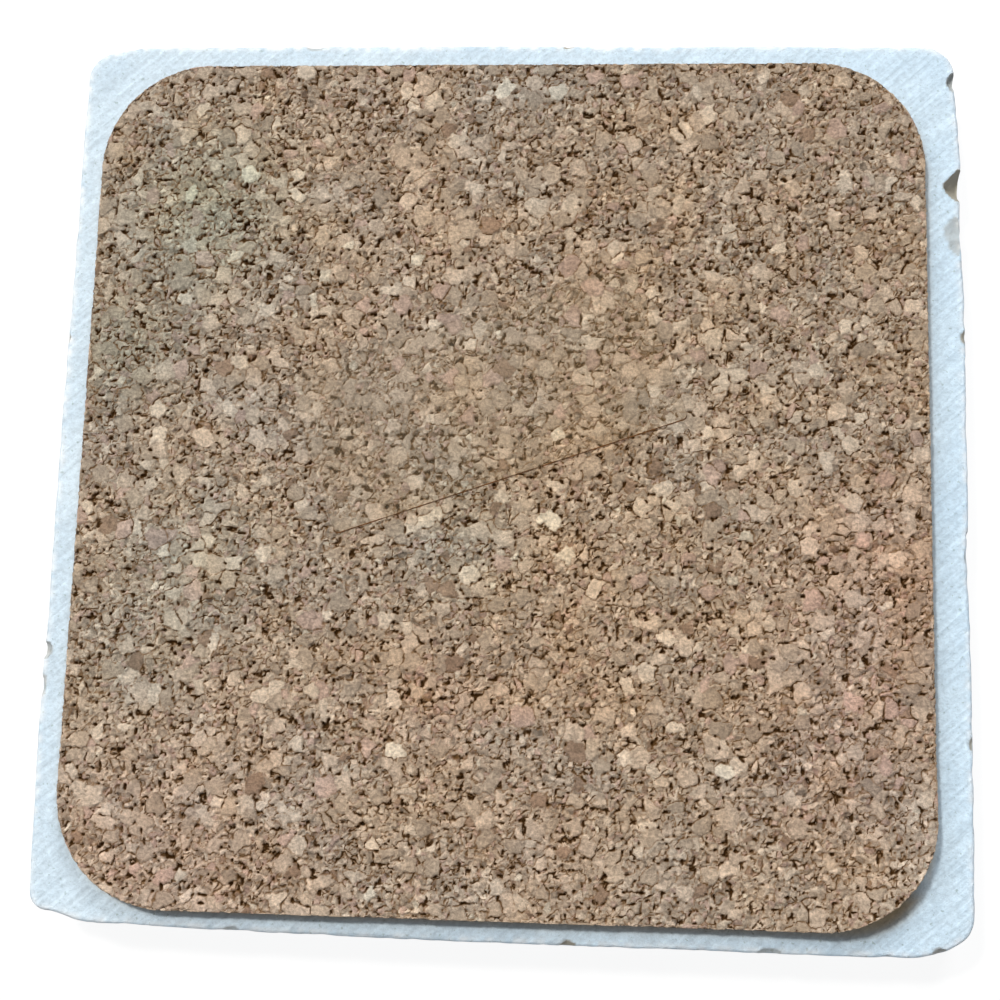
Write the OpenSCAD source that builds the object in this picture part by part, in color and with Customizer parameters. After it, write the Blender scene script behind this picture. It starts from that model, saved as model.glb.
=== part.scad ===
// Square stone coaster with a cork backing, lying on its drinking face as photographed.
// +Z comes out of the cork, +Y is the far side, and the origin is the middle of the drinking face.

/* [Stone tile] */
// Side of the square tile over its worn edges
tile_side = 101.6; // [88:0.2:116]
// Thickness of the tile between its two flat faces
tile_t = 9.5; // [6:0.5:14]
// Radius of the tile's corners seen from above
corner_r = 4; // [3:0.5:9]
// Radius that tumbling has worn on the arris of the drinking face
face_arris_r = 0.9; // [0.4:0.1:1.5]
// Radius that tumbling has worn on the arris of the sawn back face
back_arris_r = 0.4; // [0.2:0.1:1.5]
// Depth of the deepest hollow worn into the outline
wear_depth = 0.8; // [0:0.1:1.6]
// How far the sawn sides lie behind their outline
side_relief = 0.25; // [0:0.05:0.6]
// Radius of the ball that scoops the nominal chip
chip_r = 2; // [1:0.1:3]

/* [Cork pad] */
// Thickness of the cork sheet
cork_t = 2; // [1.5:0.25:4]
// Radius of the pad's corners
cork_corner_r = 12.4; // [4:0.2:20]
// Bare stone left beside the pad at its left and right, once centred
rim_side = 3.8; // [2:0.2:8]
// Bare stone left beside the pad at its near and far edge, once centred
rim_end = 2.8; // [2:0.2:8]
// How far the pad was laid to the right of the tile's middle
cork_shift_x = -0.5; // [-1.5:0.1:1.5]
// How far the pad was laid beyond the tile's middle
cork_shift_y = -0.5; // [-1.5:0.1:1.5]
// Angle by which the pad was laid askew
cork_turn = 0.2; // [-1:0.1:1]

/* [Adhesive film] */
// Thickness of the adhesive between stone and cork
adhesive_t = 0.15; // [0.1:0.05:0.4]
// How far the adhesive stays inside the pad's edge
adhesive_inset = 0.4; // [0.2:0.1:1]

/* [Label film] */
// Length of the clear label
label_l = 41; // [20:1:60]
// Width of the clear label
label_w = 19; // [10:1:30]
// Thickness of the label film
label_t = 0.08; // [0.05:0.01:0.2]
// Radius of the label's corners
label_corner_r = 0.6; // [0.2:0.1:2]
// Angle by which the label is stuck askew
label_turn = 19.3; // [-45:0.1:45]
// Place of the label's middle, right of the pad's middle
label_x = -1.6; // [-10:0.2:10]
// Place of the label's middle, beyond the pad's middle
label_y = 8.6; // [-12:0.2:12]
// Gap round the label where it is pressed into the cork
label_gap = 0.05; // [0.02:0.01:0.2]

/* [Hidden] */

$fn = 48;
// Overrun of every cut past the face that it opens
cut_over = 0.5;

half_side = tile_side / 2;
cork_w = tile_side - 2 * rim_side;
cork_d = tile_side - 2 * rim_end;
adhesive_z = tile_t;
cork_z = adhesive_z + adhesive_t;
cork_top_z = cork_z + cork_t;

// Sides are counted anticlockwise: 0 right, 1 far, 2 left, 3 near. Corner 0 ends side 0.
corner_shares = [1, 1.05, 0.8, 1];
side_steps = 40;
corner_steps = 6;
arris_steps = 4;

// Hollows worn into the outline: side, place along it from -1 to 1, depth as a share of
// wear_depth, and reach as a share of half the tile's side
hollow_shares = [
    [0, 0.9, 0.55, 0.12],
    [0, 0.58, 0.4, 0.09],
    [0, -0.2, 0.25, 0.09],
    [1, -0.85, 0.25, 0.3],
    [1, -0.28, 0.25, 0.12],
    [1, 0.94, 0.55, 0.05],
    [2, 0.88, 0.4, 0.25],
    [2, 0.3, 0.15, 0.1],
    [3, -0.95, 1.3, 0.06],
    [3, -0.75, 0.45, 0.22],
    [3, -0.4, 0.15, 0.15],
    [3, 0.965, 1.1, 0.065]
];

// Chips in the arris of the back face: side, place along it from -1 to 1, then how far the
// scooping ball lies outside the side and above the face, and its radius, as shares of chip_r
back_chip_shares = [
    [0, 0.663, 0, 0.1, 1.05],
    [0, 0.541, 0.81, 0.81, 1.93],
    [0, 0.909, -0.25, 0.1, 0.65],
    [0, 0.31, 0.55, 0.5, 0.95],
    [0, -0.17, 0.8, 0.7, 1.3],
    [0, -0.56, 0.5, 0.55, 0.9],
    [1, -0.13, 0.6, 0.6, 1.15],
    [1, 0.47, 0.75, 0.7, 1.25],
    [1, -0.66, 0.5, 0.5, 0.85],
    [2, 0.413, 0.05, 0, 0.55],
    [2, 0.49, 0.88, 0.88, 1.5],
    [2, -0.3, 0.6, 0.6, 1.05],
    [3, -0.9, 0.1, 0.35, 0.6],
    [3, 0.94, -0.35, 0, 0.5],
    [3, -0.55, 0.75, 0.7, 1.3],
    [3, 0.16, 0.6, 0.55, 1.05],
    [3, 0.58, 0.7, 0.75, 1.25]
];

// Chips in the arris of the drinking face, in the same order, with the ball below the face
front_chip_shares = [
    [0, 0.35, 0.65, 0.7, 1.2],
    [0, -0.71, 0.5, 0.5, 0.95],
    [1, 0.2, 0.7, 0.65, 1.25],
    [1, -0.87, 0.3, 0.4, 0.95],
    [2, -0.62, 0.8, 0.8, 1.45],
    [2, 0.15, 0.5, 0.55, 0.9],
    [3, -0.25, 0.6, 0.6, 1.1],
    [3, 0.72, 0.75, 0.7, 1.3]
];

// Outward direction of a side, and the direction in which its places are counted
function side_out(side) = [cos(90 * side), sin(90 * side)];
function side_along(side) = [-sin(90 * side), cos(90 * side)];
function corner_radius(side) = corner_r * corner_shares[(side + 4) % 4];

// One outline point is [x, y, outward x, outward y]
function side_point(side, step) =
    let (low = -half_side + corner_radius(side - 1))
    let (high = half_side - corner_radius(side))
    let (place = low + (high - low) * step / side_steps)
    let (at = side_out(side) * half_side + side_along(side) * place)
    concat(at, side_out(side));

function corner_point(side, step) =
    let (r = corner_radius(side))
    let (turn = 90 * (side + step / corner_steps))
    let (out = [cos(turn), sin(turn)])
    let (middle = (side_out(side) + side_along(side)) * (half_side - r))
    concat(middle + out * r, out);

outline = [
    for (side = [0:3])
        for (step = [0:side_steps + corner_steps - 1])
            step <= side_steps ? side_point(side, step) : corner_point(side, step - side_steps)
];
count = len(outline);

// Slow waves round the outline, between -1 and 1
function wave(turn, shift) = (sin(5 * turn + shift) + sin(11 * turn + 2 * shift) + sin(23 * turn)) / 3;

// Depth that all hollows together wear away at one place
function worn(at, i = 0) =
    i == len(hollow_shares) ? 0 :
    let (h = hollow_shares[i])
    let (middle = (side_out(h[0]) + side_along(h[0]) * h[1]) * half_side)
    let (away = norm(at - middle) / (h[3] * half_side))
    wear_depth * h[2] * exp(-away * away) + worn(at, i + 1);

// Rings of the tile from the drinking face up: each is [0 below or 1 at the back arris, inset as
// a share of that arris, share of the side's relief, height as a share of that arris, measured
// from its face, share of the plain height between the arrises]
function arris_ring(edge, step) =
    let (turn = 90 * step / arris_steps)
    [edge, 1 - sin(turn), 0, 1 - cos(turn), 0];
ring_shares = concat(
    [for (step = [0:arris_steps]) arris_ring(0, step)],
    [[0, 0, 1, 1, 0.3], [0, 0, 0.6, 1, 0.7]],
    [for (step = [arris_steps:-1:0]) arris_ring(1, step)]
);
rings = len(ring_shares);

function tile_point(ring, i) =
    let (r = ring_shares[ring])
    let (p = outline[i])
    let (at = [p[0], p[1]])
    let (out = [p[2], p[3]])
    let (turn = 360 * i / count)
    let (uneven = 1 + wave(turn, 30) / 3)
    let (face_arris = face_arris_r * uneven)
    let (back_arris = back_arris_r * uneven)
    let (relief = side_relief * r[2] * (1 + wave(turn, 80 + 90 * r[4])) / 2)
    let (inset = worn(at) + (r[0] == 0 ? face_arris : back_arris) * r[1] + relief)
    let (plain = (tile_t - face_arris - back_arris) * r[4])
    concat(at - out * inset, r[0] == 0 ? face_arris * r[3] + plain : tile_t - back_arris * r[3]);

// A tumbled slab: rings of outline points joined by triangles, closed by a fan on each face
module tumbled_slab() {
    ring_points = [for (ring = [0:rings - 1]) for (i = [0:count - 1]) tile_point(ring, i)];
    low_middle = len(ring_points);
    high_middle = low_middle + 1;
    last = (rings - 1) * count;
    walls = [
        for (ring = [0:rings - 2])
            for (i = [0:count - 1])
                let (a = ring * count + i)
                let (b = ring * count + (i + 1) % count)
                each [[a, a + count, b], [b, a + count, b + count]]
    ];
    low_fan = [for (i = [0:count - 1]) [low_middle, i, (i + 1) % count]];
    high_fan = [for (i = [0:count - 1]) [high_middle, last + (i + 1) % count, last + i]];
    polyhedron(
        points = concat(ring_points, [[0, 0, 0], [0, 0, tile_t]]),
        faces = concat(walls, low_fan, high_fan),
        convexity = 4
    );
}

// Balls that scoop chips out of one arris, above (up = 1) or below (up = -1) the face at face_z
module chip_balls(chips, face_z, up) {
    for (c = chips) {
        at = side_out(c[0]) * (half_side + c[2] * chip_r) + side_along(c[0]) * c[1] * half_side;
        translate(concat(at, face_z + up * c[3] * chip_r))
            sphere(r = c[4] * chip_r);
    }
}

module marble_tile() {
    color("#e6ebef")
        difference() {
            tumbled_slab();
            chip_balls(back_chip_shares, tile_t, 1);
            chip_balls(front_chip_shares, 0, -1);
        }
}

// Flat sheet with round corners, centred, standing on z = 0
module rounded_sheet(w, d, r, t) {
    linear_extrude(height = t) {
        square([w - 2 * r, d], center = true);
        square([w, d - 2 * r], center = true);
        for (x = [-1, 1])
            for (y = [-1, 1])
                translate([x * (w / 2 - r), y * (d / 2 - r)])
                    circle(r = r);
    }
}

// Places what follows in the pad's own directions, at a height above the drinking face
module on_pad(z) {
    translate([cork_shift_x, cork_shift_y, z])
        rotate([0, 0, cork_turn])
            children();
}

// Places what follows where the label is stuck
module on_label(z) {
    on_pad(z)
        translate([label_x, label_y, 0])
            rotate([0, 0, label_turn])
                children();
}

module adhesive_film() {
    color("#d8cfbd")
        on_pad(adhesive_z)
            rounded_sheet(
                cork_w - 2 * adhesive_inset,
                cork_d - 2 * adhesive_inset,
                cork_corner_r - adhesive_inset,
                adhesive_t
            );
}

module cork_pad() {
    color("#b59c80")
        difference() {
            on_pad(cork_z)
                rounded_sheet(cork_w, cork_d, cork_corner_r, cork_t);
            on_label(cork_top_z - label_t)
                rounded_sheet(
                    label_l + 2 * label_gap,
                    label_w + 2 * label_gap,
                    label_corner_r + label_gap,
                    label_t + cut_over
                );
        }
}

module label_film() {
    color("#c9b79e")
        on_label(cork_top_z - label_t)
            rounded_sheet(label_l, label_w, label_corner_r, label_t);
}

marble_tile();
adhesive_film();
cork_pad();
label_film();
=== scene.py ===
import math

import bpy
import numpy as np
from mathutils import Matrix, Vector


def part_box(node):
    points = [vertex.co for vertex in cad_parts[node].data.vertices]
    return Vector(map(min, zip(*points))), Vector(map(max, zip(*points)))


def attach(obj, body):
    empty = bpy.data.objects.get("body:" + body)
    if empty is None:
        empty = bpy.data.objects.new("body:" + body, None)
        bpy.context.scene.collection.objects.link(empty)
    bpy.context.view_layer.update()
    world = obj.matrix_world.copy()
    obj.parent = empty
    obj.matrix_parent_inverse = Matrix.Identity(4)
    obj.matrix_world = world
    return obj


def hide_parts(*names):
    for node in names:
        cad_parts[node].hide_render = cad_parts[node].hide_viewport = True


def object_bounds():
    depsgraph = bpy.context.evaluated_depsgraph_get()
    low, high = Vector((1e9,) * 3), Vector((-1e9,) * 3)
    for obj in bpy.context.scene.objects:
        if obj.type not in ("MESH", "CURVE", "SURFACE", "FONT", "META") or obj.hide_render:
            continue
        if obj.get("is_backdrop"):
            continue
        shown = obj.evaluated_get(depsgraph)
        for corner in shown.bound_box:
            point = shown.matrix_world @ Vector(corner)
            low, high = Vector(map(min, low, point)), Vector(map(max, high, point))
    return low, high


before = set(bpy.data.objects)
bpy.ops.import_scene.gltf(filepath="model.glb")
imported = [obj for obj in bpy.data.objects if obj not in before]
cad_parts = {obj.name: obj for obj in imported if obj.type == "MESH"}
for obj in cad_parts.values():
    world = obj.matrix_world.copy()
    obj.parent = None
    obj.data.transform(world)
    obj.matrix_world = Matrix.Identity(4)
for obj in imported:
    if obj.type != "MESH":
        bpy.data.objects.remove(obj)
cad_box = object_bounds()

# A square coaster of tumbled marble with a pad of agglomerated cork, lying cork side up.
# Lengths are metres; a value written in millimetres is multiplied by MM.
MM = 0.001

# Camera, in millimetres from the middle of the cork's upper face
CAMERA_AT = (13.3, -34.6, 176.0)
CAMERA_AIM = (-0.14, -3.5, 0.0)
CAMERA_UP = (-0.031, 1.0, 0.0)
LENS_MM = 58.8
SENSOR_MM = 36.0

# Points drawn along each side and round each corner of an outline, before they are spread evenly
SIDE_POINTS = 400
CORNER_POINTS = 60

# Stone tile, as in the construction: corners, arrises, depth of the hollows and bow of the sides
TILE_CORNERS = (4 * MM, 4.2 * MM, 3.2 * MM, 4 * MM)
FACE_ARRIS = 0.9 * MM
BACK_ARRIS = 0.4 * MM
WEAR_DEPTH = 0.8 * MM
SIDE_RELIEF = 0.25 * MM
# side (0 right, 1 far, 2 left, 3 near), place from -1 to 1, depth share, reach share
HOLLOWS = (
    (0, 0.9, 0.55, 0.12), (0, 0.58, 0.4, 0.09), (0, -0.2, 0.25, 0.09),
    (1, -0.85, 0.25, 0.3), (1, -0.28, 0.25, 0.12), (1, 0.94, 0.55, 0.05),
    (2, 0.88, 0.4, 0.25), (2, 0.3, 0.15, 0.1),
    (3, -0.95, 1.3, 0.06), (3, -0.75, 0.45, 0.22), (3, -0.4, 0.15, 0.15), (3, 0.965, 1.1, 0.065),
)
# Unit of the balls that cut the chips
CHIP_BALL = 2.0 * MM
# side, place, ball's distance outside the side and above the face, ball radius, in CHIP_BALLs
BACK_CHIPS = (
    (0, 0.663, 0, 0.1, 1.05), (0, 0.553, 0.3, 4.175, 4.4), (0, 0.909, -0.25, 0.1, 0.65),
    (0, 0.31, 0.55, 0.5, 0.95), (0, -0.17, 0.8, 0.7, 1.3), (0, -0.56, 0.5, 0.55, 0.9),
    (1, -0.13, 0.6, 0.6, 1.15), (1, 0.47, 0.75, 0.7, 1.25), (1, -0.66, 0.5, 0.5, 0.85),
    (2, 0.413, 0.05, 0, 0.55), (2, 0.49, 0.88, 0.88, 1.5), (2, -0.3, 0.6, 0.6, 1.05),
    (3, -0.9, 0.1, 0.35, 0.6), (3, 0.93, 0.15, 0.2, 0.75), (3, -0.55, 0.75, 0.7, 1.3),
    (3, 0.16, 0.6, 0.55, 1.05), (3, 0.58, 0.7, 0.75, 1.25),
)
FACE_CHIPS = (
    (0, 0.35, 0.65, 0.7, 1.2), (0, -0.71, 0.5, 0.5, 0.95), (1, 0.2, 0.7, 0.65, 1.25),
    (1, -0.87, 0.3, 0.4, 0.95), (2, -0.62, 0.8, 0.8, 1.45), (2, 0.15, 0.5, 0.55, 0.9),
    (3, -0.25, 0.6, 0.6, 1.1), (3, 0.72, 0.75, 0.7, 1.3),
)
# Balls smaller than this are cut flat by chance planes, which lie at these shares of the radius
SHARP_BALL = 2.5 * MM
PLANE_COUNT = 16
PLANE_SHARES = (0.78, 1.0)
# Pits of the tumbled sides: their number, and their least and greatest radius
PIT_COUNT = 170
PIT_RADII = (0.25 * MM, 0.8 * MM)
# Depth from which a chip takes its darker colour fully: dirty fracture and painted shade
CHIP_DIRT_AND_SHADE_DEPTH = 0.08 * MM
# Arris whitened by knock bruises and by a painted highlight where it faces the lamps: how far in
# it reaches, its grain, and the direction of the painted highlight
BRUISE_AND_HIGHLIGHT_REACH = 0.5 * MM
KNOCK_GRAIN = 0.7 * MM
LIT_WAY = (-0.75, 0.75)
# Cork dust and painted warm shade on the back, which browns the pad's shadow beside the corner
# that has come unstuck: how far it reaches from the pad, how much further beside that corner, the
# direction of that corner, and how far below the back it can lie
DUST_AND_SHADE_REACH = 0.5 * MM
LOOSE_REACH_SHARE = 2.4
LOOSE_WAY = (0.65, -0.76)
DUST_AND_SHADE_LEVEL = 0.3 * MM
# Spacing of the stone's points, rings of an arris and of the side, and how far in from the arris
# the first rings of each face lie
STONE_STEP = 0.27 * MM
ARRIS_RINGS = 6
SIDE_RINGS = 24
BACK_RINGS = np.arange(0.35, 4.2, 0.35) * MM
FACE_RINGS = np.array([0.6, 1.5, 3.0]) * MM
# The rest of a face closes with rings at these shares of its size
CLOSING_SHARES = (0.8, 0.55, 0.3)
# Direction of the saw lines
SAW_TURN = math.radians(-42)
# Painted light: the stone is cooler and lighter to the right and lighter to the near side,
# changing over this distance to both sides of its middle
TONE_REACH = 50 * MM

# Cork pad: grid step of its surface, spacing of whole flakes and of crumbs, share of whole flakes
CORK_CORNER = 12.4 * MM
CORK_TURN = math.radians(0.2)
CORK_STEP = 0.125 * MM
FLAKE_PITCH = 1.25 * MM
CRUMB_PITCH = 0.5 * MM
WHOLE_SHARE = 0.34
# Range of the slopes of flakes and of crumbs, and how far below the sanded plane each lies at most
FLAKE_TILT = 0.2
CRUMB_TILT = 0.85
FLAKE_DEPTH = 0.04 * MM
CRUMB_DEPTH = 0.18 * MM
# Share of the crumbs that are torn, and how much deeper these lie
TORN_SHARE = 0.03
TORN_DEPTH = 0.18 * MM
# The two noises that bend the granules' borders: their grains, and how far each shifts a border
SLOW_GRAIN = 0.9 * MM
QUICK_GRAIN = 0.35 * MM
SLOW_BEND = 0.26 * MM
QUICK_BEND = 0.13 * MM
# Crevices: half width and depth, what gaping adds to each, and the grain of the gaping
CREVICE_WIDTH = 0.1 * MM
CREVICE_DEPTH = 0.13 * MM
GAPE_WIDTH = 0.09 * MM
GAPE_DEPTH = 0.25 * MM
GAPE_GRAIN = 0.42 * MM
# A granule's roughness and how far in from its border its painted shade reaches, and the level of the plane
GRANULE_ROUGHNESS = 0.036 * MM
BORDER_REACH = 0.15 * MM
SANDED_LEVEL = -0.004 * MM
# The sanded face: its pieces, how deep they reach into the pad, and how much lower each lies where
# it runs on into the next
FACE_PIECES = 7
FACE_DEPTH = 0.62 * MM
SEAM_DROP = 0.012 * MM
# Its rim is rounded over this distance, by this much
RIM_REACH = 0.14 * MM
RIM_DROP = 0.04 * MM
# The die-cut edge: points round it, one every 0.14 mm, levels up it, how far below the face it
# ends, and its shade
EDGE_POINTS = 2530
EDGE_LEVELS = 14
EDGE_DROP = 0.05 * MM
EDGE_SHADE = 0.95
# Insets of the rings under the pad, and insets and depths of those that step in under the face
UNDER_RINGS = (9 * MM, 6 * MM, 3 * MM)
TOP_RINGS = ((0.1 * MM, 0.06 * MM), (0.5 * MM, FACE_DEPTH))
# The near right corner, which has come unstuck: its rise, how far in from the tip it starts, and
# by how much less the level below the face rises
LIFT_HEIGHT = 1.55 * MM
LIFT_REACH = 9 * MM
LIFT_SLACK = 1.3 * MM
# Tints seen on the cork: place as shares of the half pad, reach share, and the tint's colour ratio
CORK_TINTS = (
    (-0.73, 0.64, 0.2, (0.87, 1.03, 1.04)), (-0.92, 0.29, 0.15, (0.86, 0.94, 0.92)),
    (-0.08, -0.15, 0.17, (0.93, 1.0, 1.03)), (-0.73, -0.22, 0.2, (0.93, 1.01, 1.03)),
    (-0.87, -0.48, 0.15, (0.94, 1.0, 1.03)), (-0.7, 0.2, 0.5, (0.97, 1.0, 1.03)),
    (0.18, 0.02, 0.13, (1.04, 0.99, 0.94)), (0.19, -0.25, 0.14, (1.05, 0.99, 0.93)),
    (0.2, -0.48, 0.13, (1.04, 0.99, 0.94)), (-0.75, -0.9, 0.3, (1.03, 0.99, 1.01)),
    (0.9, -0.22, 0.22, (1.06, 0.97, 0.97)), (0.8, -0.6, 0.2, (1.0, 0.96, 0.99)),
    (0.05, 0.95, 0.16, (0.94, 0.98, 1.02)), (0.48, 0.12, 0.14, (1.0, 1.02, 1.05)),
    (-0.1, -0.52, 0.14, (1.05, 0.97, 0.93)), (0.1, -0.85, 0.16, (1.01, 1.0, 1.01)),
    (0.45, 0.2, 0.7, (1.0, 0.995, 0.965)), (0.35, 0.58, 0.25, (1.0, 0.985, 0.97)),
    (0.7, -0.45, 0.3, (1.02, 1.0, 0.98)),
)

# Label film on the cork: its size, corners and turn, and the points round it
LABEL_LENGTH = 41 * MM
LABEL_WIDTH = 19 * MM
LABEL_CORNER = 0.6 * MM
LABEL_TURN = math.radians(19.5)
LABEL_POINTS = 400
# Width of the dark line along its edge, and how far the line stands out beside and above the film
LABEL_LINE = 0.115 * MM
LINE_BESIDE = 0.01 * MM
LINE_ABOVE = 0.006 * MM

# Stage, in metres: half the floor's side, and where its glow begins and ends to grow
FLOOR_REACH = 2.5
GLOW_NEAR = 0.3
GLOW_FAR = 0.9
# Lamps: place and side in millimetres, watts and colour
LAMPS = {
    "key_lamp": ((-370, 430, 1240), 140, 9.6, "#fffcf7"),
    "window_lamp": ((-690, 530, 830), 700, 5.1, "#fbfdff"),
    "far_window_lamp": ((220, 880, 780), 350, 5.7, "#fbfdff"),
}


def to_linear(colour):
    """Linear red, green and blue of an sRGB colour written as a hex string."""
    parts = np.array([int(colour[i:i + 2], 16) for i in (1, 3, 5)]) / 255
    return np.where(parts <= 0.04045, parts / 12.92, ((parts + 0.055) / 1.055) ** 2.4)


def hashed(cells, seed):
    """A fixed random value from -1 to 1 for each lattice cell, by mixing its three numbers."""
    primes = np.array([73856093, 19349663, 83492791], np.uint64)
    mixed = (cells.astype(np.int64).astype(np.uint64) * primes).sum(-1) + np.uint64(seed * 2654435761)
    mixed ^= mixed >> np.uint64(15)
    mixed *= np.uint64(0x9E3779B97F4A7C15)
    mixed ^= mixed >> np.uint64(32)
    return (mixed & np.uint64(0xFFFFF)).astype(float) / 0x7FFFF - 1


def lattice_noise(points, grain, seed):
    """Smooth noise from -1 to 1: lattice values one grain apart, blended by the smoothstep curve."""
    scaled = points / grain
    cell = np.floor(scaled)
    part = scaled - cell
    part = part * part * (3 - 2 * part)
    total = np.zeros(points.shape[:-1])
    for corner in np.ndindex(2, 2, 2):
        offset = np.array(corner)
        weight = np.where(offset, part, 1 - part).prod(-1)
        total += weight * hashed(cell + offset, seed)
    return total


def make_piece(name, points, face_lists, material, slot, smooth=False, **attributes):
    """A mesh from points (n, 3) and lists of faces with equal corner counts, riding on the root.

    With smooth, the first list of faces is shaded smooth.
    """
    mesh = bpy.data.meshes.new(name)
    mesh.vertices.add(len(points))
    mesh.vertices.foreach_set("co", np.ascontiguousarray(points, np.float32).ravel())
    corners = np.concatenate([faces.ravel() for faces in face_lists]).astype(np.int32)
    totals = np.concatenate([np.full(len(faces), faces.shape[1]) for faces in face_lists])
    starts = np.concatenate([[0], np.cumsum(totals)[:-1]]).astype(np.int32)
    mesh.loops.add(len(corners))
    mesh.loops.foreach_set("vertex_index", corners)
    mesh.polygons.add(len(starts))
    mesh.polygons.foreach_set("loop_start", starts)
    mesh.update(calc_edges=True)
    mesh.polygons.foreach_set("use_smooth", np.arange(len(starts)) < smooth * len(face_lists[0]))
    for key, values in attributes.items():
        kind = "FLOAT_COLOR" if values.ndim == 2 else "FLOAT"
        stored = mesh.attributes.new(key, kind, "POINT")
        if values.ndim == 2:
            values = np.concatenate([values, np.ones((len(values), 1))], 1)
        field = "color" if kind == "FLOAT_COLOR" else "value"
        stored.data.foreach_set(field, values.astype(np.float32).ravel())
    mesh.materials.append(material)
    piece = bpy.data.objects.new(name, mesh)
    bpy.context.scene.collection.objects.link(piece)
    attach(piece, "root")
    return piece


def side_axes(side):
    """Unit vectors out of a side and along it; side 0 is the right one, and all run anticlockwise."""
    turn = side * math.pi / 2
    out = np.array([math.cos(turn), math.sin(turn)]).round()
    return out, np.array([-out[1], out[0]])


def rounded_outline(half_w, half_d, corners, count):
    """Points and outward normals, evenly spaced along a rectangle whose four corners are arcs.

    It runs anticlockwise from the low end of the right side; corner i ends side i.
    """
    points, normals = [], []
    for side in range(4):
        out, along = side_axes(side)
        reach, span = (half_w, half_d) if side % 2 == 0 else (half_d, half_w)
        low = -span + corners[side - 1]
        high = span - corners[side]
        place = np.linspace(low, high, SIDE_POINTS)[:, None]
        points.append(out * reach + along * place)
        normals.append(np.repeat(out[None], SIDE_POINTS, 0))
        turn = np.linspace(0, math.pi / 2, CORNER_POINTS)[1:-1, None]
        bend = out * np.cos(turn) + along * np.sin(turn)
        middle = out * (reach - corners[side]) + along * (span - corners[side])
        points.append(middle + bend * corners[side])
        normals.append(bend)
    points = np.concatenate(points)
    normals = np.concatenate(normals)
    closed = np.concatenate([points, points[:1]])
    length = np.concatenate([[0], np.cumsum(np.linalg.norm(np.diff(closed, axis=0), axis=1))])
    at = np.arange(count) / count * length[-1]
    normals = np.concatenate([normals, normals[:1]])
    spread = [
        np.stack([np.interp(at, length, values[:, k]) for k in (0, 1)], 1) for values in (closed, normals)
    ]
    spread[1] /= np.linalg.norm(spread[1], axis=1)[:, None]
    return spread[0], spread[1], length[-1]


def ring_faces(rings, count):
    """Quads between stacked rings of count points each, facing outwards when rings climb."""
    ring = np.arange(rings - 1)[:, None] * count
    here = np.arange(count)[None]
    after = (here + 1) % count
    above = ring + count
    return np.stack([ring + here, ring + after, above + after, above + here], -1).reshape(-1, 4)


def cap_fan(ring_start, count, middle, upwards):
    """Triangles from a middle point to one ring."""
    here = ring_start + np.arange(count)
    after = ring_start + (np.arange(count) + 1) % count
    order = (here, after) if upwards else (after, here)
    return np.stack([np.full(count, middle), *order], 1)


def capped_rings(rings, count):
    """Faces of stacked rings whose two ends close with fans to the two points that follow them."""
    total = rings * count
    return [ring_faces(rings, count), cap_fan(0, count, total, False),
            cap_fan(total - count, count, total + 1, True)]


def looped_rings(rings, count):
    """Quads of stacked rings whose last runs back into the first, as round a closed section."""
    last = (rings - 1) * count
    here = np.arange(count)
    after = (here + 1) % count
    closing = np.stack([last + here, last + after, after, here], 1)
    return np.concatenate([ring_faces(rings, count), closing])


# Materials

def add_node(tree, kind, settings=None, **links):
    """A node of that kind with its settings, and with its inputs linked or set.

    An input is given by its name, with _ for a space, or as i and its number where names repeat.
    """
    node = tree.nodes.new(kind)
    for key, value in (settings or {}).items():
        setattr(node, key, value)
    for key, value in links.items():
        socket = node.inputs[int(key[1:])] if key[1:].isdigit() else node.inputs[key.replace("_", " ")]
        if isinstance(value, bpy.types.NodeSocket):
            tree.links.new(value, socket)
        else:
            socket.default_value = value
    return node


def new_material(name):
    """A new material, its node tree and, as the tree's first node, Object coordinates."""
    material = bpy.data.materials.new(name)
    material.use_nodes = True
    tree = material.node_tree
    tree.nodes.clear()
    place = add_node(tree, "ShaderNodeTexCoord").outputs["Object"]
    return material, tree, place


def rgba(colour):
    """Linear colour with full alpha of an sRGB hex string."""
    return (*to_linear(colour), 1.0)


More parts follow.
